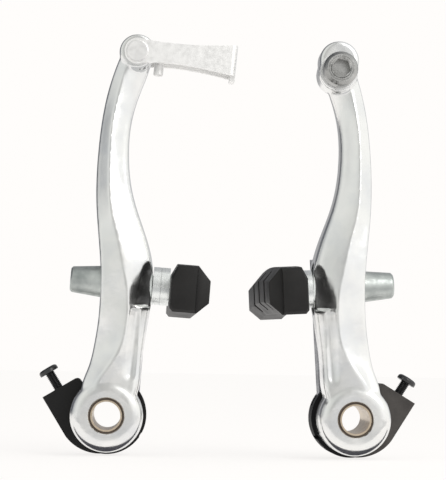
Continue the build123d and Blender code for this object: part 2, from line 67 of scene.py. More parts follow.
# ---- driving dimensions, in millimetres -----------------------------------------------
# What the part's source gives too is the same there, apart from three things: the rivet's
# heads are wider here, the pad's grooves open outwards, and the arms are shaped more finely.
PIVOT_SPACING = 71.4
BOSS_R, BOSS_FRONT, BOSS_BACK = 10.5, -10.0, 1.0
HUB_R, HUB_BACK, BORE_R = 6.5, 10.0, 5.1
ARM_MID_Y = -2.0
HEAD = (6.7, 105.7)
HEAD_R, HEAD_HALF, PIN_HOLE_R = 5.3, 3.2, 2.0
BOLT_HEAD, BOLT_HEAD_R = (5.6, 104.6), 5.8
BOLT, BOLT_HOLE_R = (5.9, 101.1), 3.0
CLAMP_FACE_Y, CLAMP_BACK_Y = -6.0, 2.5
BOLT_CAP_R, BOLT_CAP_FRONT, BOLT_SEAT_Y = 5.0, -13.4, -7.6
SHANK_R, SHANK_END_Y = 2.95, 2.2
HEX_AF, HEX_TURN, SOCKET_DEPTH = 5.0, math.radians(12), 3.2
POST, POST_R, POST_FROM = (5.1, 43.0), 1.5, 2.4
LEAN = math.radians(3.6)
PAD_CENTRE = Vector((5.0, ARM_MID_Y, 38.1))
PAD_AXIS = Vector((math.cos(LEAN), 0, -math.sin(LEAN)))
PAD_UP = Vector((math.sin(LEAN), 0, math.cos(LEAN)))
BACKWARD = Vector((0, 1, 0))
RIGHT_TOE = math.radians(-2.0)
PAD_TRAVEL, SLOT_HALF, RECESS_HALF = 4.0, 3.7, 5.4
FACE_IN, FACE_OUT = 7.5, 3.4
PAD_BACK, PAD_THICK, PAD_HALF_LENGTH, PAD_HALF_HEIGHT = 12.4, 10.8, 30.0, 6.45
RIM_R = 300.0
PAD_END_ROUND, PAD_REACH = 0.9, 12
GROOVES_AT = (-16.0, -2.0, 12.0)
GROOVE_DEPTH, GROOVE_HALF, GROOVE_FLOOR_HALF = 2.4, 1.7, 1.2
END_STEP_LENGTH, END_STEP_FROM = 1.1, 3.6
COIL_R, WIRE_R, COIL_PITCH = 8.2, 0.8, 1.74
COIL_FRONT, COIL_BACK, LEG_TOP = 5.0, 9.2, 47.0
SCREW_LEAN = math.radians(32.0)
SCREW_DIR = Vector((-math.sin(SCREW_LEAN), 0, math.cos(SCREW_LEAN)))
SCREW_FOOT = Vector((-COIL_R * math.cos(SCREW_LEAN), COIL_FRONT, -COIL_R * math.sin(SCREW_LEAN)))
SCREW_TIP, BLOCK_TOP = 7.2, 14.05
SPRING_GAP = 0.3         # between the screw's tip and the spring's short leg
SCREW_OUT = {"left": 5.0, "right": 3.8}
LINK_T, LINK_GAP = 1.5, 0.1
RIVET_HEAD_R, RIVET_HEAD_T, RIVET_PLAY = 3.2, 0.5, 0.05
SIDES = ("left", "right")
CLEAR = 20.0             # takes a cutter past anything it cuts

# The arm's sections: height, outer edge, ridge, inner edge (X), then ridge, outer edge,
# inner edge and back (Y), the hollow of the outer face, and the width of the inner bevel.
ARM_ROWS = [
    (-2.0, -5.0, -3.5, 5.0, -9.75, -9.7, -9.75, 0.8, 0.0, 0.8),
    (4.0, -6.9, -3.6, 7.8, -9.8, -9.2, -9.6, 0.8, 0.0, 1.0),
    (9.4, -7.0, -3.0, 9.4, -9.8, -8.4, -9.3, 0.8, 0.1, 1.4),
    (13.6, -5.5, -0.2, 9.7, -9.8, -7.6, -9.1, 0.8, 0.1, 1.6),
    (18.9, -4.2, 3.0, 10.2, -9.7, -7.3, -8.9, 0.9, 0.1, 1.9),
    (28.0, -2.9, 5.2, 11.5, -9.5, -7.9, -8.7, 3.4, 0.0, 2.4),
    (34.0, -2.6, 5.3, 12.3, -9.4, -8.05, -8.6, 5.0, 0.0, 2.7),
    (44.5, -2.8, 3.3, 12.2, -9.2, -8.0, -8.0, 5.0, 0.0, 2.2),
    (52.0, -3.5, 1.7, 10.2, -8.6, -7.2, -6.8, 4.6, 0.0, 2.0),
    (57.0, -4.0, 0.3, 8.4, -8.2, -6.4, -6.2, 4.2, 0.0, 1.8),
    (62.9, -4.4, -0.6, 6.5, -7.8, -5.6, -5.6, 3.8, 0.0, 1.6),
    (75.0, -4.2, -0.8, 4.8, -7.0, -4.9, -4.9, 3.0, -0.05, 1.5),
    (85.0, -3.3, -0.2, 5.3, -6.3, -4.4, -4.3, 2.2, -0.05, 1.5),
    (94.0, -1.7, 1.4, 7.7, -5.3, -3.9, -3.9, 1.2, -0.05, 1.4),
    (101.0, 0.4, 3.4, 10.2, -5.1, -4.2, -4.2, 1.1, 0.0, 1.2),
    (105.7, 2.2, 5.6, 11.2, -5.1, -4.6, -4.6, 1.1, 0.0, 1.0),
]
ROW_STEP = 0.4
VOXEL, VOXEL_QUICK = 0.3, 0.6
SMOOTHING, SMOOTHING_QUICK = 15, 5
UNEVENNESS = [(6.0, 0.016), (2.2, 0.007)]      # size and depth of the casting's waves
FLAT_Y, FLAT_UP = (-15, 15), (-7, 12)          # reach of the flat beside the inner washers
BACK_ROUND = 1.3
INNER_SLOPE = 0.9        # the inner bevel's depth for its width
INNER_BULGE = 0.12       # how far it bulges, for its width
FRONT_CURVE = 1.3        # bends the front face between the ridge and the bevel
BOSS_FLAT_R, BOSS_ROUND_DEEP = 7.2, 2.6
OUTER_ROUND = 0.7
# The channel beside the ridge: height, middle (X), half width, depth.
FLUTE_ROWS = [
    (10.0, 6.5, 1.0, 0.0),
    (12.0, 6.6, 1.6, 0.4),
    (16.0, 6.8, 1.8, 0.55),
    (24.0, 7.2, 1.8, 0.5),
    (30.0, 7.6, 1.6, 0.4),
    (31.4, 7.6, 1.4, 0.0),
]
# The hollow beside the pad's washers: height and width added to the inner bevel.
SEAT_ROWS = [(31.2, 0.0), (31.7, 2.0), (37.0, 1.6), (42.0, 0.8), (45.0, 0.0)]
SEAT_WALL_Y = -6.2       # the hollow stops short of the pad's slot
SEAT_SLOPE = 0.8         # how much deeper the bevel goes, for the hollow's width
SEAT_TURN, SEAT_FULL = 1.6, 0.8      # turns the bulge into a hollow by this width

# ---- mesh helpers ---------------------------------------------------------------------


def make_object(name, verts, faces):
    """A mesh object from points in millimetres."""
    mesh = bpy.data.meshes.new(name)
    mesh.from_pydata([[c * MM for c in v] for v in verts], [], faces)
    mesh.update()
    obj = bpy.data.objects.new(name, mesh)
    bpy.context.scene.collection.objects.link(obj)
    return obj


def clean_normals(obj):
    """Points every face outwards."""
    bm = bmesh.new()
    bm.from_mesh(obj.data)
    bmesh.ops.remove_doubles(bm, verts=bm.verts, dist=1e-7)
    bmesh.ops.recalc_face_normals(bm, faces=bm.faces)
    bm.to_mesh(obj.data)
    bm.free()


def capped(rows, columns):
    """Faces of a tube of rings, one ring to a row of points, with both ends closed."""
    faces = []
    for r in range(rows - 1):
        here, above = r * columns, (r + 1) * columns
        for c in range(columns):
            beside = (c + 1) % columns
            faces.append((here + c, here + beside, above + beside, above + c))
    last = (rows - 1) * columns
    return faces + [tuple(reversed(range(columns))), tuple(range(last, last + columns))]


def apply_modifiers(obj):
    depsgraph = bpy.context.evaluated_depsgraph_get()
    mesh = bpy.data.meshes.new_from_object(obj.evaluated_get(depsgraph))
    obj.modifiers.clear()
    obj.data = mesh


def subtract(obj, cutter):
    """Cuts the cutter out of obj, and removes it."""
    modifier = obj.modifiers.new("cut", "BOOLEAN")
    modifier.operation = "DIFFERENCE"
    modifier.solver = "MANIFOLD"
    modifier.object = cutter
    apply_modifiers(obj)
    bpy.data.objects.remove(cutter)


def join_meshes(objects, name):
    """One object of several, as loose shells."""
    verts, faces = [], []
    for obj in objects:
        start = len(verts)
        verts += [v.co / MM for v in obj.data.vertices]
        faces += [tuple(start + i for i in p.vertices) for p in obj.data.polygons]
        bpy.data.objects.remove(obj)
    return make_object(name, verts, faces)


def smooth_shading(obj, angle):
    obj.data.shade_smooth()
    obj.data.set_sharp_from_angle(angle=math.radians(angle))


def bevel(obj, width, angle):
    modifier = obj.modifiers.new("bevel", "BEVEL")
    modifier.width = width * MM
    modifier.segments = 2
    modifier.limit_method = "ANGLE"
    modifier.angle_limit = math.radians(angle)


def mirrored(obj):
    """Turns a left piece into a right one, in place."""
    flip = Matrix.Translation((PIVOT_SPACING * MM, 0, 0)) @ Matrix.Scale(-1, 4, (1, 0, 0))
    obj.data.transform(flip)
    obj.data.flip_normals()
    return obj


def toed(obj):
    """Turns a piece of the pad by the right pad's toe."""
    centre = PAD_CENTRE * MM
    turn = Matrix.Rotation(RIGHT_TOE, 4, PAD_UP)
    obj.data.transform(Matrix.Translation(centre) @ turn @ Matrix.Translation(-centre))
    return obj


def revolve(name, profile, place, segments=96):
    """A solid of revolution; profile is (along, radius) and place(along, r, angle) a point."""
    verts = []
    for along, radius in profile:
        for s in range(segments):
            verts.append(place(along, radius, 2 * math.pi * s / segments))
    obj = make_object(name, verts, capped(len(profile), segments))
    clean_normals(obj)
    return obj


def about_y(x, z):
    """Places a revolved profile about an axis along Y; along is the depth."""
    return lambda y, r, a: (x + r * math.cos(a), y, z + r * math.sin(a))


def about_line(start, direction):
    """Places a revolved profile about any line."""
    u = direction.orthogonal().normalized()
    v = direction.cross(u)
    return lambda t, r, a: start + direction * t + u * (r * math.cos(a)) + v * (r * math.sin(a))


def round_rod(name, x, z, radius, front, back, edge=0.0):
    """A rod along Y with rounded ends."""
    profile = [(front, radius - edge)]
    for step in range(1, 5):
        turn = math.pi / 2 * step / 5
        profile.append((front + edge * (1 - math.cos(turn)), radius - edge * (1 - math.sin(turn))))
    profile += [(front + edge, radius), (back - edge, radius)]
    for step in range(1, 6):
        turn = math.pi / 2 * step / 5
        profile.append((back - edge * (1 - math.sin(turn)), radius - edge * (1 - math.cos(turn))))
    if edge == 0.0:
        profile = [(front, radius), (back, radius)]
    return revolve(name, profile, about_y(x, z))


def pad_point(along, back, up):
    """A point given along the pad stud, to the back, and up."""
    return PAD_CENTRE + PAD_AXIS * along + BACKWARD * back + PAD_UP * up


def stadium_cutter(name, half, reach, start, end):
    """A slot-shaped cutter along the pad stud."""
    outline = []
    steps = 48
    for start_angle, middle in ((0, reach), (math.pi, -reach)):
        for s in range(steps + 1):
            a = start_angle + math.pi * s / steps
            outline.append((half * math.cos(a), middle + half * math.sin(a)))
    verts = [pad_point(t, y, z) for t in (start, end) for y, z in outline]
    obj = make_object(name, verts, capped(2, len(outline)))
    clean_normals(obj)
    return obj


def box_cutter(name, corners):
    """A box from eight points: four at one end and the four behind them."""
    faces = [(0, 1, 2, 3), (4, 5, 6, 7), (0, 1, 5, 4), (1, 2, 6, 5), (2, 3, 7, 6), (3, 0, 4, 7)]
    obj = make_object(name, corners, faces)
    clean_normals(obj)
    return obj


def smooth_rows(rows, at):
    """Monotone cubic interpolation of every column of a table at one height."""
    table = np.array(rows, float)
    h, v = table[:, 0], table[:, 1:]
    at = min(max(at, h[0]), h[-1])
    step = np.diff(h)
    slope = np.diff(v, axis=0) / step[:, None]
    tangent = np.zeros_like(v)
    tangent[0], tangent[-1] = slope[0], slope[-1]
    for k in range(1, len(h) - 1):
        same = slope[k - 1] * slope[k] > 0
        mean = 2 * slope[k - 1] * slope[k] / np.where(same, slope[k - 1] + slope[k], 1)
        tangent[k] = np.where(same, mean, 0)
    k = min(int(np.searchsorted(h, at, side="right")) - 1, len(h) - 2)
    t = (at - h[k]) / step[k]
    return (
        (2 * t**3 - 3 * t**2 + 1) * v[k] + (t**3 - 2 * t**2 + t) * step[k] * tangent[k]
        + (3 * t**2 - 2 * t**3) * v[k + 1] + (t**3 - t**2) * step[k] * tangent[k + 1]
    )


def spline_rows(rows, heights):
    """Natural cubic spline of every column of a table at many heights."""
    table = np.array(rows, float)
    h, v = table[:, 0], table[:, 1:]
    step = np.diff(h)
    system = np.eye(len(h))
    right = np.zeros_like(v)
    for k in range(1, len(h) - 1):
        system[k, k - 1:k + 2] = step[k - 1], 2 * (step[k - 1] + step[k]), step[k]
        right[k] = 6 * ((v[k + 1] - v[k]) / step[k] - (v[k] - v[k - 1]) / step[k - 1])
    curve = np.linalg.solve(system, right)
    out = []
    for at in heights:
        k = min(int(np.searchsorted(h, at, side="right")) - 1, len(h) - 2)
        a, b = (h[k + 1] - at) / step[k], (at - h[k]) / step[k]
        bend = ((a**3 - a) * curve[k] + (b**3 - b) * curve[k + 1]) * step[k] ** 2 / 6
        out.append(a * v[k] + b * v[k + 1] + bend)
    return out


# ---- arms -----------------------------------------------------------------------------


def shares(steps):
    """Even shares of a stretch, without its start."""
    return [s / steps for s in range(1, steps + 1)]


def arc(x, y, radius, start, end, count):
    """Points of an arc between two angles in degrees."""
    angles = [math.radians(start + (end - start) * s / (count - 1)) for s in range(count)]
    return [(x + radius * math.cos(a), y + radius * math.sin(a)) for a in angles]


def arm_section(z, row):
    """The arm's closed outline at one height, always with the same number of points."""
    outer, ridge, inner, ridge_y, outer_y, inner_y, back_y, hollow, slope_width = row
    flute_x, flute_half, flute_deep = smooth_rows(FLUTE_ROWS, z)
    if not FLUTE_ROWS[0][0] < z < FLUTE_ROWS[-1][0]:
        flute_deep = 0.0
    seat = smooth_rows(SEAT_ROWS, z)[0] if SEAT_ROWS[0][0] < z < SEAT_ROWS[-1][0] else 0.0
    plain_wall = inner_y + slope_width * INNER_SLOPE
    slope_width = slope_width + seat
    front_x = inner - slope_width
    seat_wall = inner_y + slope_width * INNER_SLOPE + seat * SEAT_SLOPE
    wall_y = min(seat_wall, max(plain_wall, SEAT_WALL_Y))

    # the outer edge, and the outer face up to the ridge
    points = arc(outer + OUTER_ROUND, outer_y + OUTER_ROUND, OUTER_ROUND, 180, 260, 5)
    start_x, start_y = points[-1]
    for t in shares(18):
        x = start_x + (ridge - start_x) * t
        y = start_y + (ridge_y - start_y) * t + hollow * 4 * t * (1 - t)
        points.append((x, y))
    # the front face with its channel
    for t in shares(28):
        x = ridge + (front_x - ridge) * t
        y = ridge_y + (inner_y - ridge_y) * t ** FRONT_CURVE
        inside = (x - flute_x) / flute_half
        if abs(inside) < 1:
            y += flute_deep * (1 - inside * inside)
        points.append((x, y))
    # the inner bevel, which is hollow beside the pad's washers
    bulge_share = INNER_BULGE * (1 - SEAT_TURN * min(1, seat / SEAT_FULL))
    for t in shares(8):
        bulge = bulge_share * slope_width * math.sin(math.pi * t)
        points.append((front_x + slope_width * t + bulge, inner_y + (wall_y - inner_y) * t - bulge))
    # the inner side, the back and the outer side
    back = back_y - BACK_ROUND
    points += [(inner, wall_y + (back - wall_y) * t) for t in shares(6)[:-1]]
    points += arc(inner - BACK_ROUND, back, BACK_ROUND, 0, 90, 6)
    left, right = outer + BACK_ROUND, inner - BACK_ROUND
    points += [(right + (left - right) * t, back_y) for t in shares(8)[:-1]]
    points += arc(left, back, BACK_ROUND, 90, 180, 6)
    top = outer_y + OUTER_ROUND
    points += [(outer, back + (top - back) * t) for t in shares(6)[:-1]]
    return points


def beam(name):
    """The arm's long body, from the boss to the head."""
    rows = []
    foot, top = ARM_ROWS[0][0], ARM_ROWS[-1][0]
    heights = np.linspace(foot, top, int((top - foot) / ROW_STEP) + 1)
    for height, row in zip(heights, spline_rows(ARM_ROWS, heights)):
        rows.append([(x, y, height) for x, y in arm_section(height, row)])
    obj = make_object(name, [p for row in rows for p in row], capped(len(rows), len(rows[0])))
    clean_normals(obj)
    return obj


def boss(name):
    """The pivot's boss: a flat ring that rounds over into the rim."""
    edge, steps = 0.5, 12
    profile = [(BOSS_FRONT, 1.0)]
    for step in range(steps + 1):
        turn = math.pi / 2 * step / steps
        profile.append((
            BOSS_FRONT + BOSS_ROUND_DEEP * (1 - math.cos(turn)),
            BOSS_FLAT_R + (BOSS_R - BOSS_FLAT_R) * math.sin(turn),
        ))
    profile += [
        (BOSS_BACK - edge, BOSS_R), (BOSS_BACK - edge * 0.3, BOSS_R - edge * 0.3),
        (BOSS_BACK, BOSS_R - edge), (BOSS_BACK, 1.0),
    ]
    return revolve(name, profile, about_y(0, 0))


def cast_unevenness(obj, size, depth):
    """Moves the surface a little along its normals, as a hand-polished casting is uneven."""
    moved = []
    for v in obj.data.vertices:
        wave = noise.noise(v.co / (size * MM))
        moved.extend(v.co + v.normal * (wave * depth * MM))
    obj.data.vertices.foreach_set("co", moved)
    obj.data.update()


def arm_mesh(side):
    """The casting: rounded shells melted together, then cut as the CAD arm is."""
    front, back = ARM_MID_Y - HEAD_HALF, ARM_MID_Y + HEAD_HALF
    shells = [beam("beam"), boss("boss"), round_rod("hub", 0, 0, HUB_R, 0.0, HUB_BACK, 0.4)]
    if side == "left":
        shells.append(round_rod("head", *HEAD, HEAD_R, front, back, 0.8))
    else:
        shells.append(round_rod("head", *BOLT_HEAD, BOLT_HEAD_R, CLAMP_FACE_Y, CLAMP_BACK_Y, 1.0))
        shells.append(round_rod("head", *BOLT, BOLT_HEAD_R, CLAMP_FACE_Y, CLAMP_BACK_Y, 0.5))
    arm = join_meshes(shells, f"{side}_arm_casting")
    remesh = arm.modifiers.new("remesh", "REMESH")
    remesh.mode = "VOXEL"
    remesh.voxel_size = VOXEL * MM
    smooth = arm.modifiers.new("smooth", "SMOOTH")
    smooth.factor = 0.5
    smooth.iterations = SMOOTHING
    apply_modifiers(arm)
    for size, depth in UNEVENNESS:
        cast_unevenness(arm, size, depth)
    subtract(arm, round_rod("bore", 0, 0, BORE_R, -CLEAR, CLEAR))
    mouth = [(BOSS_FRONT - 1.8, BORE_R + 2.0), (BOSS_FRONT + 0.2, BORE_R)]
    subtract(arm, revolve("mouth", mouth, about_y(0, 0)))
    subtract(arm, stadium_cutter("slot", SLOT_HALF, PAD_TRAVEL, -CLEAR, CLEAR))
    subtract(arm, stadium_cutter("recess", RECESS_HALF, PAD_TRAVEL, -CLEAR, -FACE_OUT))
    (y_front, y_back), (below, above) = FLAT_Y, FLAT_UP
    corners = ((y_front, below), (y_back, below), (y_back, above), (y_front, above))
    flat = [pad_point(t, y, up) for t in (FACE_IN, CLEAR) for y, up in corners]
    subtract(arm, box_cutter("flat", flat))
    subtract(arm, round_rod("post_hole", *POST, POST_R, POST_FROM, CLEAR))
    if side == "left":
        subtract(arm, round_rod("pin_hole", *HEAD, PIN_HOLE_R, -CLEAR, CLEAR))
    else:
        subtract(arm, round_rod("thread", *BOLT, BOLT_HOLE_R, -CLEAR, CLEAR))
        mirrored(arm)
    smooth_shading(arm, 40)
    return arm


# ---- small pieces ---------------------------------------------------------------------


def pad_mesh(side):
    """The brake shoe: a curved rubber block with bevels, grooves and a stepped end."""
    front, back = PAD_BACK + PAD_THICK, PAD_BACK
    h = PAD_HALF_HEIGHT

    def outline(inset):
        """The shoe's section, as distance along the stud and height, shrunk by inset."""
        return [
            (back + inset * 0.4, -h + 1.0 + inset), (back + inset * 0.4, h - 3.2 - inset),
            (back + 1.6, h - inset), (front - 3.4, h - inset),
            (front - inset, h - 3.8), (front - inset, -h + 3.0),
            (front - 3.3, -h + inset), (back + 0.9, -h + inset),
        ]

    count, end = 30, PAD_HALF_LENGTH
    stations = [(-end, PAD_END_ROUND)]
    for s in range(count + 1):
        stations.append((-end + PAD_END_ROUND + 2 * (end - PAD_END_ROUND) * s / count, 0.0))
    stations.append((end, PAD_END_ROUND))
    verts = []
    for along, inset in stations:
        drop = RIM_R - math.sqrt(RIM_R**2 - along**2)
        verts += [pad_point(t, along, up - drop) for t, up in outline(inset)]
    pad = make_object(f"{side}_brake_shoe", verts, capped(len(stations), len(outline(0.0))))
    clean_normals(pad)
    for middle in GROOVES_AT:
        corners = [
            pad_point(t, middle + y, up)
            for t, half in ((front - GROOVE_DEPTH, GROOVE_FLOOR_HALF), (front + 1, GROOVE_HALF))
            for y, up in ((-half, -PAD_REACH), (half, -PAD_REACH), (half, PAD_REACH), (-half, PAD_REACH))
        ]
        subtract(pad, box_cutter("groove", corners))
    step = front - END_STEP_FROM
    section = ((step, -PAD_REACH), (front + 3, -PAD_REACH), (front + 3, PAD_REACH), (step, PAD_REACH))
    for way in (-1, 1):
        corners = [
            pad_point(t + tilt, way * y, up)
            for y, tilt in ((end - END_STEP_LENGTH, 0.0), (end + 2, -0.6))
            for t, up in section
        ]
        subtract(pad, box_cutter("end_step", corners))
    bevel(pad, 0.28, 18)
    apply_modifiers(pad)
    smooth_shading(pad, 50)
    if side == "right":
        mirrored(toed(pad))
    return pad


def spring_route():
    """The wire's middle line: short leg, coil and long leg."""
    points = [SCREW_FOOT + SCREW_DIR * (SCREW_TIP - SPRING_GAP - s) for s in (0, 2, 4, 5.5)]
    start = math.atan2(SCREW_FOOT.z, SCREW_FOOT.x)
    turns = (COIL_BACK - COIL_FRONT) / COIL_PITCH
    steps = int(turns * 40)
    for s in range(steps + 1):
        a = start + 2 * math.pi * turns * s / steps
        y = COIL_FRONT + (COIL_BACK - COIL_FRONT) * s / steps
        points.append(Vector((COIL_R * math.cos(a), y, COIL_R * math.sin(a))))
    direction = (points[-1] - points[-2]).normalized()
    top = points[-1]
    length = LEG_TOP - top.z
    points += [top + direction * (length * t) for t in shares(24)]
    return points


def spring_mesh(side):
    """The torsion spring: a round wire swept along its route."""
    route = spring_route()
    segments = 16
    verts = []
    for i, p in enumerate(route):
        tangent = (route[min(i + 1, len(route) - 1)] - route[max(i - 1, 0)]).normalized()
        u = (BACKWARD - tangent * BACKWARD.dot(tangent)).normalized()
        v = tangent.cross(u)
        for s in range(segments):
            a = 2 * math.pi * s / segments
            verts.append(p + u * (WIRE_R * math.cos(a)) + v * (WIRE_R * math.sin(a)))
    spring = make_object(f"{side}_torsion_spring", verts, capped(len(route), segments))
    clean_normals(spring)
    smooth_shading(spring, 60)
    if side == "right":
        mirrored(spring)
    return spring


def screw_mesh(side):
    """M3 screw with its thread cut as a helix, a pan head and a cross recess."""
    pitch, root, crest = 0.5, 1.16, 1.44
    cap = BLOCK_TOP + SCREW_OUT[side]
    place = about_line(SCREW_FOOT, SCREW_DIR)
    segments, per_pitch = 28, 8
    rows = int((cap + 0.2 - SCREW_TIP) / pitch * per_pitch)
    verts = []
    for r in range(rows + 1):
        along = SCREW_TIP + r * pitch / per_pitch
        for s in range(segments):
            phase = (r / per_pitch + s / segments) % 1.0
            depth = abs(2 * phase - 1)
            verts.append(place(along, root + (crest - root) * depth, 2 * math.pi * s / segments))
    thread = make_object("thread", verts, capped(rows + 1, segments))
    clean_normals(thread)
    radius, edge, dome = 2.9, 0.75, 0.85
    profile = [(cap, 1.0), (cap, radius - 0.12), (cap + 0.1, radius), (cap + edge, radius)]
    for t in shares(6):
        a = math.pi / 2 * t
        profile.append((cap + edge + dome * math.sin(a), radius - 1.1 * (1 - math.cos(a))))
    profile.append((cap + edge + dome, 0.4))
    head = revolve("head", profile, place, 64)
    u = SCREW_DIR.orthogonal().normalized()
    v = SCREW_DIR.cross(u)
    for a, b in ((u, v), (v, u)):
        corners = []
        # deep end, then the wide end past the head: depth, half length and half width
        for t, half_long, half_wide in ((cap + 0.5, 0.75, 0.28), (cap + 2, 1.75, 0.42)):
            middle = SCREW_FOOT + SCREW_DIR * t
            for i, j in ((-1, -1), (1, -1), (1, 1), (-1, 1)):
                corners.append(middle + a * (i * half_long) + b * (j * half_wide))
        subtract(head, box_cutter("cross", corners))
    screw = join_meshes([thread, head], f"{side}_screw_m3")
    smooth_shading(screw, 40)
    if side == "right":
        mirrored(screw)
    return screw


def bolt_mesh():
    """The cable bolt: a socket cap with a ring turned in its face, and its shank."""
    front, seat, r = BOLT_CAP_FRONT, BOLT_SEAT_Y, BOLT_CAP_R
    profile = [
        (front, 1.0), (front, 3.3), (front + 0.1, 3.4), (front + 0.1, 3.55), (front, 3.65),
        (front, r - 1.0), (front + 0.12, r - 0.9), (front + 0.55, r - 0.35),
        (front + 0.95, r - 0.08), (front + 1.3, r), (seat - 0.35, r), (seat, r - 0.3),
        (seat, SHANK_R), (SHANK_END_Y - 0.2, SHANK_R), (SHANK_END_Y, SHANK_R - 0.25),
    ]
    bolt = revolve("cable_bolt", profile, about_y(*BOLT), 128)
    sink = [(front - 1, 4.1), (front + 0.32, 2.78), (front + 0.33, 0.5)]
    subtract(bolt, revolve("sink", sink, about_y(*BOLT), 64))
    corner_r = HEX_AF / 2 / math.cos(math.pi / 6)
    corners = []
    for y in (front - 1, front + SOCKET_DEPTH):
        for s in range(6):
            a = math.pi / 3 * s + HEX_TURN
            corners.append((BOLT[0] + corner_r * math.cos(a), y, BOLT[1] + corner_r * math.sin(a)))
    hexagon = make_object("hexagon", corners, capped(2, 6))
    clean_normals(hexagon)
    subtract(bolt, hexagon)
    smooth_shading(bolt, 30)
    return mirrored(bolt)


def rivet_mesh():
    """The rivet that the link turns on, with a flat round head on each plate."""
    plate = HEAD_HALF + LINK_GAP + LINK_T + RIVET_PLAY
    r, thick = RIVET_HEAD_R, RIVET_HEAD_T
    half = [
        (plate + thick, 0.6), (plate + thick, r - 0.35), (plate + thick - 0.12, r - 0.1),
        (plate + thick - 0.3, r), (plate, r), (plate, PIN_HOLE_R),
    ]
    profile = [(ARM_MID_Y - out, radius) for out, radius in half]
    profile += [(ARM_MID_Y + out, radius) for out, radius in reversed(half)]
    return revolve("link_rivet", profile, about_y(*HEAD))


# ---- materials ------------------------------------------------------------------------


class Material:
    """A node material made step by step."""

    def __init__(self, name):
        self.material = bpy.data.materials.new(name)
        self.material.use_nodes = True
        self.tree = self.material.node_tree
        self.shader = self.tree.nodes["Principled BSDF"]
        self.place = self.add("ShaderNodeTexCoord").outputs["Object"]

    def add(self, kind, **values):
        node = self.tree.nodes.new(kind)
        for key, value in values.items():
            setattr(node, key, value)
        return node

    def link(self, a, b):
        self.tree.links.new(a, b)

    def scaled(self, scale):
        mapping = self.add("ShaderNodeMapping")
        mapping.inputs["Scale"].default_value = scale
        self.link(self.place, mapping.inputs["Vector"])
        return mapping.outputs["Vector"]

    def noise(self, scale, detail, stretch=(1, 1, 1)):
        node = self.add("ShaderNodeTexNoise")
        node.inputs["Scale"].default_value = scale
        node.inputs["Detail"].default_value = detail
        self.link(self.scaled(stretch), node.inputs["Vector"])
        return node.outputs["Fac"]

    def ramp(self, factor, stops):
        node = self.add("ShaderNodeValToRGB")
        elements = node.color_ramp.elements
        while len(elements) < len(stops):
            elements.new(0.5)
        for element, (position, colour) in zip(elements, stops):
            element.position = position
            element.color = (*colour, 1)
        self.link(factor, node.inputs["Fac"])
        return node.outputs["Color"]

    def range(self, factor, low, high, start=0.3, end=0.7):
        node = self.add("ShaderNodeMapRange")
        node.inputs["From Min"].default_value = start
        node.inputs["From Max"].default_value = end
        node.inputs["To Min"].default_value = low
        node.inputs["To Max"].default_value = high
        self.link(factor, node.inputs["Value"])
        return node.outputs["Result"]

    def mix(self, factor, a, b):
        node = self.add("ShaderNodeMix", data_type="RGBA")
        self.link(factor, node.inputs[0])
        for socket, value in ((node.inputs[6], a), (node.inputs[7], b)):
            if isinstance(value, tuple):
                socket.default_value = (*value, 1)
            else:
                self.link(value, socket)
        return node.outputs[2]

    def bump(self, *layers):
        """layers are (height, strength, distance in mm)."""
        normal = None
        for height, strength, distance in layers:
            node = self.add("ShaderNodeBump")
            node.inputs["Strength"].default_value = strength
            node.inputs["Distance"].default_value = distance * MM
            self.link(height, node.inputs["Height"])
            if normal:
                self.link(normal, node.inputs["Normal"])
            normal = node.outputs["Normal"]
        self.link(normal, self.shader.inputs["Normal"])

    def edges(self):
        """About 0.5 on flats, more on outer edges and less in corners."""
        return self.add("ShaderNodeNewGeometry").outputs["Pointiness"]

    def finish(self, colour, roughness, metallic=0.0, specular=0.5):
        for socket, value in (("Base Color", colour), ("Roughness", roughness)):
            if isinstance(value, (int, float)):
                self.shader.inputs[socket].default_value = value
            elif isinstance(value, tuple):
                self.shader.inputs[socket].default_value = (*value, 1)
            else:
                self.link(value, self.shader.inputs[socket])
        self.shader.inputs["Metallic"].default_value = metallic
        self.shader.inputs["Specular IOR Level"].default_value = specular
        return self.material


def polished_alloy():
    """Hand-polished casting: cloudy, faintly lined, and darker in its corners."""
    m = Material("polished_alloy")
    cloud = m.noise(110, 4)
    fine = m.noise(900, 3)
    lines = m.noise(420, 3, (1.0, 1.0, 0.12))
    tint = m.ramp(cloud, [
        (0.3, (0.80, 0.81, 0.82)), (0.55, (0.90, 0.90, 0.885)), (0.75, (0.94, 0.935, 0.92)),
    ])
    # darker where the surface is concave, from its pointiness
    corner_darkening = m.ramp(m.edges(), [(0.38, (0.55, 0.55, 0.56)), (0.47, (1, 1, 1))])
    node = m.add("ShaderNodeMix", data_type="RGBA", blend_type="MULTIPLY")
    node.inputs[0].default_value = 1.0
    m.link(tint, node.inputs[6])
    m.link(corner_darkening, node.inputs[7])
    m.bump((cloud, 0.22, 0.6), (lines, 0.10, 0.12), (fine, 0.12, 0.05))
    return m.finish(node.outputs[2], m.range(m.noise(260, 4), 0.13, 0.27), 1.0)


def metal(name, dark, light, rough, grain, scale, strength, depth, metallic=1.0):
    """A plated or turned steel with its grain, blotches and bright worn edges."""
    m = Material(name)
    blotch = m.noise(260, 4)
    line = m.noise(scale, 3, grain)
    colour = m.mix(m.range(blotch, 0, 1), dark, light)
    paler_edges = m.range(m.edges(), 0.0, 0.6, 0.52, 0.60)
    colour = m.mix(paler_edges, colour, tuple(min(1.0, c * 1.15) for c in light))
    m.bump((line, strength, depth), (blotch, 0.1, 0.1))
    return m.finish(colour, m.range(line, rough * 0.75, rough * 1.3), metallic)


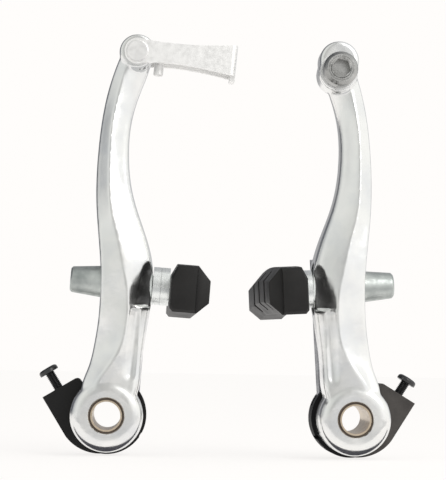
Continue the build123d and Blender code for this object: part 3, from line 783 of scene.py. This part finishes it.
def dark_solid(name, dark, light, rough, scale, depth, specular):
    """Rubber or moulded plastic: mottled, with a fine grain, and paler edges that are partly rubbed wear
    and partly a painted edge highlight.
    """
    m = Material(name)
    blotch = m.noise(200, 5)
    grain = m.noise(scale, 4)
    colour = m.mix(m.range(blotch, 0, 1), dark, light)
    # Paler edges: partly rubbed wear, partly a painted highlight along the bevels.
    paler_edges = m.range(m.edges(), 0.0, 0.55, 0.51, 0.58)
    colour = m.mix(paler_edges, colour, tuple(c * 2.0 + 0.008 for c in light))
    m.bump((grain, 0.45, depth))
    return m.finish(colour, m.range(blotch, rough * 0.85, rough * 1.15), 0.0, specular)


# Painted light on the right spring seat: grey to the right of this X, plain black nylon to the left of
# it.
PAINTED_LIGHT_FROM_TO = (0.070, 0.078)    # the X in metres where the block's grey begins and is full


def nylon_with_painted_light():
    """Black nylon whose spring block is painted grey, as painted light where the light falls on it, and
    left black beside the boss.
    """
    m = Material("grey_nylon")
    blotch = m.noise(200, 5)
    split = m.add("ShaderNodeSeparateXYZ")
    m.link(m.place, split.inputs[0])
    # painted light: the block turns from black to grey across this X
    painted_light_share = m.range(split.outputs["X"], 0.0, 1.0, *PAINTED_LIGHT_FROM_TO)
    grey = m.mix(m.range(blotch, 0, 1), (0.046, 0.042, 0.040), (0.088, 0.081, 0.076))
    colour = m.mix(painted_light_share, (0.006, 0.006, 0.007), grey)
    m.bump((m.noise(1100, 4), 0.45, 0.05))
    return m.finish(colour, m.range(blotch, 0.5, 0.7), 0.0, 0.2)


# Metals: dark and light tone, roughness, the grain's stretch, scale, strength and depth in
# millimetres, and how metallic it is where that is less than 1.
EVEN = (1, 1, 1)
METALS = {
    "satin_steel": ((0.80, 0.795, 0.79), (0.86, 0.855, 0.845), 0.38, EVEN, 700, 0.05, 0.02, 0.7),
    "zinc_steel": ((0.36, 0.39, 0.38), (0.60, 0.63, 0.61), 0.42, EVEN, 900, 0.35, 0.06),
    "washer_steel": ((0.62, 0.65, 0.64), (0.84, 0.86, 0.85), 0.28, (6, 1, 1), 700, 0.3, 0.05),
    "clamp_steel": ((0.74, 0.74, 0.73), (0.90, 0.90, 0.89), 0.30, EVEN, 800, 0.2, 0.04),
    "bolt_steel": ((0.30, 0.30, 0.29), (0.52, 0.52, 0.51), 0.30, EVEN, 800, 0.3, 0.05),
    "spring_steel": ((0.30, 0.30, 0.32), (0.52, 0.52, 0.54), 0.30, EVEN, 800, 0.2, 0.03),
    "brass": ((0.40, 0.31, 0.22), (0.62, 0.52, 0.40), 0.30, (1, 5, 1), 700, 0.25, 0.04),
}
# Plastics and rubber: dark and light tone, roughness, the grain's scale and depth in
# millimetres, and the strength of the highlight.
SOLIDS = {
    "black_screw": ((0.006, 0.006, 0.007), (0.016, 0.016, 0.017), 0.24, 900, 0.03, 0.6),
    "black_acetal": ((0.035, 0.025, 0.018), (0.07, 0.05, 0.035), 0.40, 900, 0.03, 0.5),
    "black_nylon": ((0.003, 0.003, 0.003), (0.008, 0.008, 0.008), 0.55, 1100, 0.05, 0.14),
    "pad_rubber": ((0.005, 0.0048, 0.0046), (0.012, 0.0114, 0.011), 0.45, 1300, 0.06, 0.25),
}


def make_materials():
    made = {"polished_alloy": polished_alloy(), "grey_nylon": nylon_with_painted_light()}
    made.update({name: metal(name, *values) for name, values in METALS.items()})
    made.update({name: dark_solid(name, *values) for name, values in SOLIDS.items()})
    return made


# ---- assembly -------------------------------------------------------------------------
materials = make_materials()


def dress(obj, slot):
    """Gives a piece the material of its slot."""
    obj.data.materials.clear()
    obj.data.materials.append(materials[slot])


# Nodes whose look differs from their slot's.
# The right spring seat's block carries painted light.
OWN_FINISH = {"right_spring_seat": "grey_nylon", "clamp_washer": "clamp_steel"}
slot_of = {s["node"]: s["material_slot"] for s in frame["record"]["subparts"]}
for node, obj in frame["nodes"].items():
    finish = OWN_FINISH.get(node, slot_of[node])
    if not obj.material_slots:
        obj.data.materials.append(materials[finish])
    for slot in obj.material_slots:
        slot.material = materials[finish]

# Widths of the bevels that the CAD nodes get.
BEVELS = {
    "noodle_link": 0.18, "link_stop": 0.1, "clamp_washer": 0.15, "spring_seat": 0.3,
    "pad_nut": 0.2, "inner_convex_washer": 0.18, "inner_concave_washer": 0.22,
    "outer_convex_washer": 0.12, "outer_concave_washer": 0.15, "pivot_sleeve": 0.08,
    "pivot_bush": 0.06, "anchor_pin": 0.2, "spring_post": 0.2,
}
for node, obj in frame["nodes"].items():
    kind = node.replace("left_", "").replace("right_", "")
    if kind in BEVELS:
        bevel(obj, BEVELS[kind], 35)

for side in SIDES:
    arm = arm_mesh(side)
    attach(arm, f"{side}_arm")
    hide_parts(f"{side}_arm")
    dress(arm, "polished_alloy")
    pad = pad_mesh(side)
    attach(pad, f"{side}_pad")
    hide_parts(f"{side}_brake_pad")
    dress(pad, "pad_rubber")
    screw = screw_mesh(side)
    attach(screw, f"{side}_screw")
    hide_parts(f"{side}_tension_screw")
    dress(screw, "black_screw")
    spring = spring_mesh(side)
    dress(spring, "spring_steel")
    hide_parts(f"{side}_return_spring")
    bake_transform(spring)
rivet = rivet_mesh()
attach(rivet, "left_arm")
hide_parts("link_pin")
dress(rivet, "satin_steel")
bolt = bolt_mesh()
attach(bolt, "cable_clamp")
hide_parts("anchor_bolt")
dress(bolt, "bolt_steel")

# ---- floor, light and camera ----------------------------------------------------------
WHITE = (1.0, 0.982, 0.965)
FLOOR_HALF, FLOOR_GAP, FLOOR_GLOW = 3000.0, 0.4, 0.84
# What the metal mirrors, by the angle around the object: 0 is towards the viewer, +90 is
# the right side, and 180 is behind.
AROUND = [
    (-180, (0.42, 0.42, 0.43)), (-125, (0.16, 0.165, 0.18)), (-96, (0.12, 0.125, 0.14)),
    (-82, (0.46, 0.47, 0.48)), (-66, (0.68, 0.69, 0.68)), (-45, (0.80, 0.81, 0.79)),
    (-18, (0.68, 0.69, 0.67)), (-5, (0.52, 0.52, 0.51)), (2, (0.54, 0.54, 0.53)),
    (16, (1.0, 1.0, 0.99)), (95, (1.02, 1.02, 1.0)), (125, (0.62, 0.63, 0.64)),
    (180, (0.50, 0.50, 0.51)),
]


def make_sheet(name, corners):
    """A flat sheet from its corners in millimetres, that is part of the stage."""
    sheet = make_object(name, corners, [(0, 1, 2, 3)])
    return sheet


def lit(name, glow, strength, colour, roughness):
    """A dull material that also glows."""
    m = Material(name)
    m.shader.inputs["Emission Color"].default_value = (*glow, 1)
    m.shader.inputs["Emission Strength"].default_value = strength
    return m.finish(colour, roughness, 0.0, 0.0)


def make_floor(height):
    """A pale floor just below the object, bright enough to meet the background."""
    corners = [(x * FLOOR_HALF, y * FLOOR_HALF, height) for x, y in ((-1, -1), (1, -1), (1, 1), (-1, 1))]
    floor = make_sheet("floor", corners)
    floor.data.materials.append(lit("floor", WHITE, FLOOR_GLOW, tuple(c * 0.22 for c in WHITE), 0.9))


def make_world():
    """White to the eye; what the metal mirrors is bright at the right and grey at the left."""
    world = bpy.data.worlds.new("studio")
    world.use_nodes = True
    bpy.context.scene.world = world
    tree = world.node_tree
    nodes, links = tree.nodes, tree.links
    background = nodes["Background"]
    place = nodes.new("ShaderNodeTexCoord")
    split = nodes.new("ShaderNodeSeparateXYZ")
    links.new(place.outputs["Generated"], split.inputs[0])

    def calculate(operation, a, b):
        node = nodes.new("ShaderNodeMath")
        node.operation = operation
        for socket, value in ((node.inputs[0], a), (node.inputs[1], b)):
            if isinstance(value, (int, float)):
                socket.default_value = value
            else:
                links.new(value, socket)
        return node.outputs[0]

    turn = calculate("ARCTAN2", split.outputs["X"], calculate("MULTIPLY", split.outputs["Y"], -1.0))
    around = nodes.new("ShaderNodeValToRGB")
    around.color_ramp.interpolation = "EASE"
    elements = around.color_ramp.elements
    while len(elements) < len(AROUND):
        elements.new(0.5)
    for element, (degrees, colour) in zip(elements, AROUND):
        element.position = (degrees + 180) / 360
        element.color = (*colour, 1)
    links.new(calculate("ADD", calculate("DIVIDE", turn, 2 * math.pi), 0.5), around.inputs["Fac"])
    seen = nodes.new("ShaderNodeLightPath")
    pick = nodes.new("ShaderNodeMix")
    pick.data_type = "RGBA"
    links.new(seen.outputs["Is Camera Ray"], pick.inputs[0])
    links.new(around.outputs["Color"], pick.inputs[6])
    pick.inputs[7].default_value = (*WHITE, 1)
    links.new(pick.outputs[2], background.inputs["Color"])
    background.inputs["Strength"].default_value = 1.0


def make_card(name, across, away, height, colour):
    """A level sheet that only shows in reflections, from its reach in X and Y."""
    (left, right), (near, far) = across, away
    corners = [(left, near, height), (right, near, height), (right, far, height), (left, far, height)]
    card = make_sheet(name, corners)
    card.visible_camera = False
    card.visible_diffuse = False
    card.visible_shadow = False
    card.data.materials.append(lit(name, colour, 1.0, (0.0, 0.0, 0.0), 1.0))


def make_light(name, place, target, size, power):
    """A soft rectangular light, placed in metres and aimed at the target."""
    data = bpy.data.lights.new(name, "AREA")
    data.shape = "RECTANGLE"
    data.size, data.size_y = size
    data.energy = power
    data.color = WHITE
    light = bpy.data.objects.new(name, data)
    light.location = place
    light.rotation_euler = (Vector(target) - Vector(place)).to_track_quat("-Z", "Y").to_euler()
    bpy.context.scene.collection.objects.link(light)


CAMERA_PLACE, CAMERA_LENS = (0.00925, -0.4982, 0.0164), 127.95
CAMERA_TURN, CAMERA_TILT, CAMERA_ROLL = -2.71, 94.03, 1.04


def make_camera():
    """A long lens half a metre in front, a little left of the middle and low."""
    data = bpy.data.cameras.new("camera")
    data.lens = CAMERA_LENS
    data.sensor_width = 36.0
    camera = bpy.data.objects.new("camera", data)
    turn = Matrix.Rotation(math.radians(CAMERA_TURN), 4, "Z")
    tilt = Matrix.Rotation(math.radians(CAMERA_TILT), 4, "X")
    roll = Matrix.Rotation(math.radians(CAMERA_ROLL), 4, "Z")
    camera.matrix_world = Matrix.Translation(CAMERA_PLACE) @ turn @ tilt @ roll
    bpy.context.scene.collection.objects.link(camera)
    bpy.context.scene.camera = camera


low = min(corner[2] for corner in CAD_BOX) / MM
make_floor(low - FLOOR_GAP)
make_world()
middle = (PIVOT_SPACING / 2 * MM, 0, 0.05)
make_light("key", (0.40, -0.50, 0.45), middle, (0.4, 0.4), 1.2)
make_card("grey_front", (-160, 240), (-420, -60), low, (0.60, 0.60, 0.60))
# A dark sheet just under the object, seen only in reflections: a painted shadow of the floor beneath it.
make_card("dark_under", (-30, 110), (-12, -7.5), low, (0.06, 0.06, 0.07))
make_camera()
bpy.context.scene.view_settings.view_transform = "Standard"
